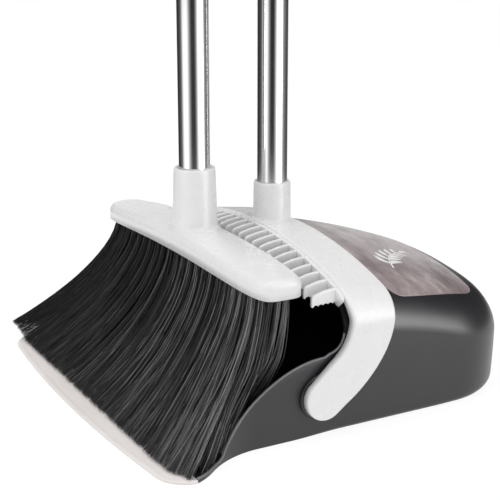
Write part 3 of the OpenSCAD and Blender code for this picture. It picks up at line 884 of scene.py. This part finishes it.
def make_comb():
    shape = Shape()
    for k in range(-comb_half, comb_half + 1):
        x0 = k * comb_pitch
        top, low = tooth_chains(between(comb_top, abs(x0)) - 1.0)
        slab(shape, top, low, lambda u, v, n: (x0 + tooth_t / 2 + n, u, v), lambda u, v: tooth_t,
             0.5, 6, steps=3)
    reach = crown_len + 14
    places = [mix(-reach, reach, i / 90) for i in range(91)]
    ends = [(s, -7.5) for s in (-reach, reach)]
    front, back = [[ends[0]] + [(s, y) for s in places[1:-1]] + [ends[1]] for y in rail_y]
    slab(shape, front, back, lambda s, y, n: on_yoke(s, y, n - 1.3), lambda s, y: 8.4,
         0.6, 3, steps=3)
    shape.piece("comb_teeth", white_plastic, "handle", "white_plastic", "comb")


# ---------- broom head ----------

head_half = head_high.x
head_mid_y = (head_low.y + head_high.y) / 2
head_depth = (head_high.y - head_low.y) / 2
head_mid_z = 102.5                  # height of the head's lower edge at its middle
ridge_y = (-8.6, -4.0, 0.7, 5.3)    # wavy ridges near both ends, across a skewed line
ridge_h, ridge_w = 0.95, 1.25
outline_power = 0.36                # crowds the outline's points towards the rounded ends


def head_low_z(x):
    return head_mid_z - 5 * (x / head_half) ** 2


def head_top_z(x, y):
    t = (y - head_mid_y) / head_depth
    z = head_low_z(x) + 12.5 + 2.6 * (1 - (x / head_half) ** 2) - 3.6 * t * t
    along, across = 0.89 * abs(x) - 0.45 * y, 0.45 * abs(x) + 0.89 * y
    held = ease(74, 82, along) * (1 - ease(102, 112, along))
    if held > 0:
        across += 0.7 * math.sin((along - 76) / 5.5)
        z += held * sum(ridge_h * math.exp(-((across - c) / ridge_w) ** 2) for c in ridge_y)
    return z


def head_places():
    """Places along the head from -1 to 1, even in the middle and crowded at the ends."""
    steps = 250
    turns = [math.cos(math.pi * i / steps) for i in range(steps + 1)]
    places = [math.copysign(abs(c) ** outline_power, c) for c in turns]
    places += [1 - 2 * i / steps for i in range(steps + 1)]
    places = sorted(set(round(v, 5) for v in places if abs(v) <= 1))
    picked = [places[0]]
    for v in places[1:]:
        if v - picked[-1] > 0.0016 or v == places[-1]:
            picked.append(v)
    return picked


def make_head():
    front, back = [], []
    for v in head_places():
        c = min(1.0, abs(v)) ** (1 / outline_power)
        depth = head_depth * max(0.0, 1 - c * c) ** 0.21 if abs(v) < 1 else 0
        front.append((v * head_half, head_mid_y - depth))
        back.append((v * head_half, head_mid_y + depth))
    shape = Shape()
    slab(shape, front, back, lambda u, v, n: (u, v, head_top_z(u, v) + n),
         lambda u, v: head_top_z(u, v) - head_low_z(u), 4.2, 40, pocket=(2.5, 8.2), steps=8)
    shape.piece("head_shell", white_plastic, "broom", "white_plastic", "broom_head")


def make_head_socket():
    shape = Shape()
    socket(shape, broom_pole_y, head_top_z, 159, 14.6, 16.0, 2.4, 112)
    shape.piece("head_socket", white_plastic, "broom", "white_plastic")


# ---------- bristles ----------

tuft_count = 21
row_pitch = 6.3
filaments_in_tuft = (120, 100, 80, 55, 50)       # front row to rear row
filament_r = 0.3
filament_steps = 13
corners = (0.3, 2.394, 4.489)           # a filament's section is a triangle, in radians
front_rows = 3                          # these rows fan out over the lip
root_half = 112.0
tip_middle, tip_half = -7.0, 157.0      # the brush leans a little to one side
rear_tip_half = 117.0                   # the rows behind them end between the pan's walls
front_tip_y, tip_back = -135.5, 16.5


def wall_limit():
    """How far a filament may stand to the side inside the pan, as (y, x) with rising y."""
    half, _, hood_end = pan_outline()
    return sorted((y, x - mix(0.7, wall + 2.5, ease(-100, -84, y)))
                  for x, y in half[hood_end:-front_points])


def make_bristles():
    limit = wall_limit()
    for row, per_tuft in enumerate(filaments_in_tuft):
        shape = Shape()
        shades = []
        root_y = head_mid_y + (row - 2) * row_pitch
        for tuft in range(tuft_count):
            share = 2 * (tuft + 0.5) / tuft_count - 1
            strands = round(per_tuft * (0.9 + 0.8 * ease(-0.6, -0.9, share)))
            tone = random.uniform(-0.08, 0.08)
            lean = random.uniform(-1.0, 1.0)
            for _ in range(strands):
                add_filament(shape, shades, row, share, root_y, tone, lean, limit)
        replaced = ["bristle_tufts"] if row == 0 else []
        obj = shape.piece(f"bristle_row_{row + 1}", bristle_filament, "broom", "bristle_black",
                          *replaced, tidy=False)
        layer = obj.data.attributes.new("shade", "FLOAT", "POINT")
        layer.data.foreach_set("value", shades)


def add_filament(shape, shades, row, share, root_y, tone, lean, limit):
    """One thin strand from its tuft to its trimmed tip."""
    angle, off = random.uniform(0, 2 * math.pi), math.sqrt(random.random())
    root_x = share * root_half + 2.5 * off * math.cos(angle)
    y0 = root_y + 2.2 * off * math.sin(angle)
    z0 = head_low_z(root_x) + 4
    spread = share * 1.03 + random.gauss(0, 0.028 + 0.02 * ease(-0.55, -0.9, share))
    if abs(spread) > 1:                 # strays past the brush's sides turn back inwards
        spread = math.copysign(2 - abs(spread), spread)
    if row < front_rows:
        tip_x = tip_middle + tip_half * spread + lean
    else:
        tip_x = rear_tip_half * spread + lean
    y1 = front_tip_y + tip_back * row + random.gauss(0, 0.9 if row == 0 else 3.5)
    y1 += 7 * ease(0.85, 1.0, spread)
    z1 = 3.0 + 1.4 * row + abs(random.gauss(0, 0.9)) + 6.5 * ease(0.75, 1.0, -spread)
    bow, sway = random.gauss(0, 0.9), random.gauss(0, 1.0)
    lift = 4.5 * ease(0.5, -1.0, spread)
    # painted light: the 0.24 * spread term makes strands lighter towards the brush's +x side, where
    # the light falls; the rest is random tone
    shade = min(1.0, max(0.0, random.betavariate(1.7, 1.9) + 0.03 + tone + 0.24 * spread))
    r = filament_r * random.uniform(0.8, 1.15)
    # painted shade: the thick filler strands are darkened to 0.3 of their tone to stand in for the
    # shade inside the brush
    if row in (1, 2) and random.random() < 0.4:     # thick dark strands close the gaps
        r, shade = 1.7 * r, 0.3 * shade
    fan = mix(1.75, 2.6, ease(0, 0.6, spread))
    rings = []
    for i in range(filament_steps + 1):
        s = i / filament_steps
        z = mix(z0, z1, s) + lift * math.sin(math.pi * s)
        y = mix(y0, y1, s ** 1.95) + bow * math.sin(math.pi * s)
        x = mix(root_x, tip_x, s ** fan) + sway * math.sin(math.pi * s)
        widest = mix(root_half + 2, tip_middle + tip_half, s ** 2.6)
        inside = between(limit, y)
        if x > 0 and widest > inside:
            x *= inside / widest
        if row >= front_rows:
            x = max(-inside, x)
        size = r * (1 if i < filament_steps else 0.7)
        rings.append(shape.add([(x + size * math.cos(a), y + size * math.sin(a),
                                 z + 0.35 * size * math.sin(a)) for a in corners]))
        shades.extend([shade] * len(corners))
    for a, b in zip(rings, rings[1:]):
        shape.strip(a, b, closed=True)
    shape.faces.append(tuple(rings[-1]))


# ---------- poles ----------

def turned_piece(node, name, material, body, slot, profile, turns):
    """Turns a profile about a pole's axis; sharp corners stay sharp, the rest shades smooth."""
    low, high = box_mm(node)
    y = (low.y + high.y) / 2
    shape = Shape()
    lathe(shape, profile, lambda a, b, h: (a, y + b, h), turns)
    obj = shape.piece(name, material, body, slot, node)
    obj.data.set_sharp_from_angle(angle=math.radians(40))


def make_tube(node, body):
    """Thin steel tube with rolled ends."""
    low, high = box_mm(node)
    r, inner, roll = high.x, high.x - tube_wall, 0.22
    profile = [(r - roll, low.z), (r, low.z + roll)]
    profile += [(r, mix(low.z + roll, high.z - roll, i / 6)) for i in range(1, 7)]
    profile += [(r - roll, high.z), (inner, high.z), (inner, low.z)]
    name = node.replace("tube", "pole")
    turned_piece(node, name, tube_steel, body, "tube_steel", profile, 128)


def make_grip(node, body):
    """Soft sleeve with rounded ends and rings of grooves."""
    low, high = box_mm(node)
    r, inner = high.x, tube_r + 0.05
    ribs, margin, steps = 9, 12, 12
    profile = [(inner, low.z), (r - 1.6, low.z), (r - 0.5, low.z + 0.5), (r, low.z + 1.6)]
    for i in range(ribs * steps + 1):
        t = i / (ribs * steps)
        groove = 0.9 * max(0.0, math.cos(2 * math.pi * ribs * t)) ** 1.5
        profile.append((r - groove, low.z + mix(margin, high.z - low.z - margin, t)))
    profile += [(r, high.z - 1.6), (r - 0.5, high.z - 0.5), (r - 1.6, high.z), (inner, high.z)]
    turned_piece(node, node + "_sleeve", grip_rubber, body, "grip_rubber", profile, 96)


def dress(node, material, bevel=0.0):
    """Gives a CAD node its material, and soft edges where it shows."""
    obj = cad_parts[node]
    obj.data.materials.clear()
    obj.data.materials.append(material)
    if bevel:
        soften(obj, bevel, 3, 35)


make_pan_shell()
make_rim()
make_bosses()
make_lip()
make_label_piece()
make_ornament()
make_yoke()
make_yoke_socket()
make_comb()
make_head()
make_head_socket()
make_bristles()
for part in ("lower", "middle", "upper"):
    make_tube("pan_tube_" + part, "handle")
for part in ("lower", "second", "third", "upper"):
    make_tube("broom_tube_" + part, "broom")
make_grip("pan_grip", "handle")
make_grip("broom_grip", "broom")
for cap in ("pan_hang_cap", "broom_hang_cap", "pole_clip"):
    dress(cap, white_plastic, 0.7)
for plug in ("pan_foot_plug", "broom_foot_plug", "pan_joint_plugs", "broom_joint_plugs",
             "pan_joint_studs", "broom_joint_studs"):
    dress(plug, grey_plastic)
for small in ("pivot_washers", "pivot_screws", "block_screws"):
    dress(small, zinc)
dress("bristle_block", block_plastic)


# ---------- floor, light and camera ----------

def emitter(name, colour, strength):
    """A glowing material, with its node tree, emission node and output."""
    material = bpy.data.materials.new(name)
    material.use_nodes = True
    tree = material.node_tree
    tree.nodes.clear()
    out = add_node(tree, "OutputMaterial")
    glow = add_node(tree, "Emission", Color=(*colour, 1), Strength=strength)
    tree.links.new(glow.outputs["Emission"], out.inputs["Surface"])
    return material, tree, glow, out


def make_floor():
    """A wide pale sweep that stays nearly white to its far edge."""
    bpy.ops.mesh.primitive_plane_add(size=60)
    floor = bpy.context.object
    floor.name = "studio_floor"
    material, tree, glow, out = emitter("studio_floor", (1, 1, 1), 0.9)
    soft = add_node(tree, "BsdfDiffuse", Color=(0.14, 0.14, 0.14, 1))
    both = add_node(tree, "AddShader")
    tree.links.new(glow.outputs["Emission"], both.inputs[0])
    tree.links.new(soft.outputs["BSDF"], both.inputs[1])
    tree.links.new(both.outputs["Shader"], out.inputs["Surface"])
    floor.data.materials.append(material)


camera_place = Vector((0.7312, -0.4091, 0.3256))
camera_forward = Vector((-0.8437, 0.4648, -0.2686)).normalized()
facing = math.degrees(math.atan2(camera_place.y, camera_place.x))    # the camera's azimuth


def make_camera():
    data = bpy.data.cameras.new("camera")
    data.lens = 85.5
    data.sensor_width = 36
    camera = bpy.data.objects.new("camera", data)
    bpy.context.scene.collection.objects.link(camera)
    camera.location = camera_place
    camera.rotation_euler = camera_forward.to_track_quat("-Z", "Y").to_euler()
    bpy.context.scene.camera = camera


def area(name, azimuth, elevation, distance, size, power):
    """A softbox aimed at the pan; azimuth in degrees from the camera's, to the right."""
    aim = Vector((0, -0.02, 0.09))
    a, e = math.radians(facing + azimuth), math.radians(elevation)
    towards = Vector((math.cos(e) * math.cos(a), math.cos(e) * math.sin(a), math.sin(e)))
    place = aim + distance * towards
    data = bpy.data.lights.new(name, "AREA")
    data.shape = "RECTANGLE"
    data.size, data.size_y = size
    data.energy = power
    light = bpy.data.objects.new(name, data)
    bpy.context.scene.collection.objects.link(light)
    light.location = place
    light.rotation_euler = (aim - place).to_track_quat("-Z", "Y").to_euler()


def upright_card(name, material, r, low, high, turns):
    """Bent card on a circle round the set, in metres; only gloss sees it."""
    count = len(turns)
    verts = [(r * math.cos(a), r * math.sin(a), z) for z in (low, high) for a in turns]
    mesh = bpy.data.meshes.new(name)
    mesh.from_pydata(verts, [], [(i, i + 1, count + i + 1, count + i) for i in range(count - 1)])
    card = bpy.data.objects.new(name, mesh)
    bpy.context.scene.collection.objects.link(card)
    card.data.materials.append(material)
    card.visible_camera = False
    card.visible_diffuse = False
    card.visible_shadow = False
    card.visible_transmission = False
    card.visible_volume_scatter = False


def make_reflectors():
    """Upright light and dark cards round the set give the chrome its bands; a high one over the
    camera draws light lines on the rounded edges."""
    # brightness by azimuth, in degrees to the right of the camera's
    stops = [(-178, 0.002), (-170, 0.1), (-152, 0.1), (-144, 0.003), (-128, 0.004), (-100, 0.01),
             (-86, 0.033), (-70, 0.18), (-44, 0.2), (-26, 0.047), (-13, 0.004), (8, 0.003),
             (17, 0.033), (30, 0.15), (46, 0.4), (51, 1.0), (68, 1.0), (75, 0.16), (86, 0.05),
             (105, 0.02), (144, 0.003), (152, 0.1), (170, 0.1), (178, 0.002)]
    placed = sorted((((facing + a + 180) % 360) / 360, (v, v, v)) for a, v in stops)
    material, tree, glow, _ = emitter("studio_cards", (1, 1, 1), 1.0)
    coords = add_node(tree, "TexCoord")
    split = add_node(tree, "SeparateXYZ")
    turn = add_node(tree, "Math")
    turn.operation = "ARCTAN2"
    share = add_node(tree, "MapRange", From_Min=-math.pi, From_Max=math.pi)
    ramp = add_node(tree, "ValToRGB")
    fill_ramp(ramp.color_ramp, placed)
    # the cards' upper part is dimmer
    fade = add_node(tree, "MapRange", From_Min=0.22, From_Max=0.3, To_Min=7.2, To_Max=3.4)
    links = (
        (coords.outputs["Object"], split.inputs[0]),
        (split.outputs["Y"], turn.inputs[0]),
        (split.outputs["X"], turn.inputs[1]),
        (turn.outputs[0], share.inputs["Value"]),
        (share.outputs["Result"], ramp.inputs["Fac"]),
        (ramp.outputs["Color"], glow.inputs["Color"]),
        (split.outputs["Z"], fade.inputs["Value"]),
        (fade.outputs["Result"], glow.inputs["Strength"]),
    )
    for output, target in links:
        tree.links.new(output, target)
    round_turns = [2 * math.pi * i / 144 for i in range(145)]
    upright_card("studio_cards", material, 0.62, 0.001, 2.2, round_turns)
    high_turns = [math.radians(facing + mix(-35, 30, i / 12)) for i in range(13)]
    upright_card("rim_card", emitter("rim_card", (1, 1, 1), 1.6)[0], 0.6, 0.62, 1.3, high_turns)


def make_studio():
    make_floor()
    make_reflectors()
    bpy.context.scene.view_settings.view_transform = "Standard"
    world = bpy.data.worlds.new("studio")
    bpy.context.scene.world = world
    world.use_nodes = True
    sky = next(n for n in world.node_tree.nodes if n.type == "BACKGROUND")
    set_inputs(sky, Color=(1, 1, 1, 1), Strength=0.62)
    area("key", -60, 48, 3.75, (2.25, 2.25), 36)
    area("fill", 40, 25, 4.0, (2.0, 2.25), 25)
    area("top", 150, 75, 3.6, (2.7, 2.7), 37)
    make_camera()


make_studio()
